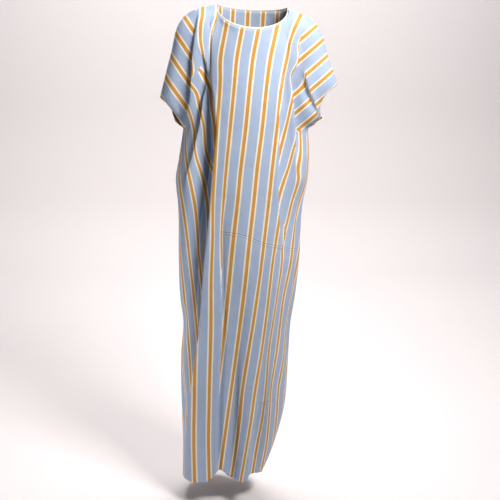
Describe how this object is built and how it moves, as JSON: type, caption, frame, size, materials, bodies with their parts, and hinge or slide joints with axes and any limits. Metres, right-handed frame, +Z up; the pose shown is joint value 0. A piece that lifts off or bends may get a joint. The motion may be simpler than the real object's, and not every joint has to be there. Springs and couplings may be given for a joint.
{
  "type": "boubou robe",
  "caption": "Loose ankle-length striped robe with short sleeves cut in one and a scooped neck, hanging open as worn.",
  "frame": {"origin": "middle of the shoulders on the overarm seams' plane, 16 mm below the wearer's right neck point, where a wearer's neck and shoulders carry the robe", "axes": "+Z up, -Y the front of the robe, +X the wearer's left"},
  "size_m": [0.487, 0.2488, 1.358],
  "materials": {
    "striped_cotton": "plain weave, light blue with mustard stripes edged in cream, matt",
    "cream_edging": "narrow turned cream edge, matt"
  },
  "bodies": {
    "root": {"front": "striped_cotton", "back": "striped_cotton", "neck_band": "cream_edging"}
  },
  "joints": []
}
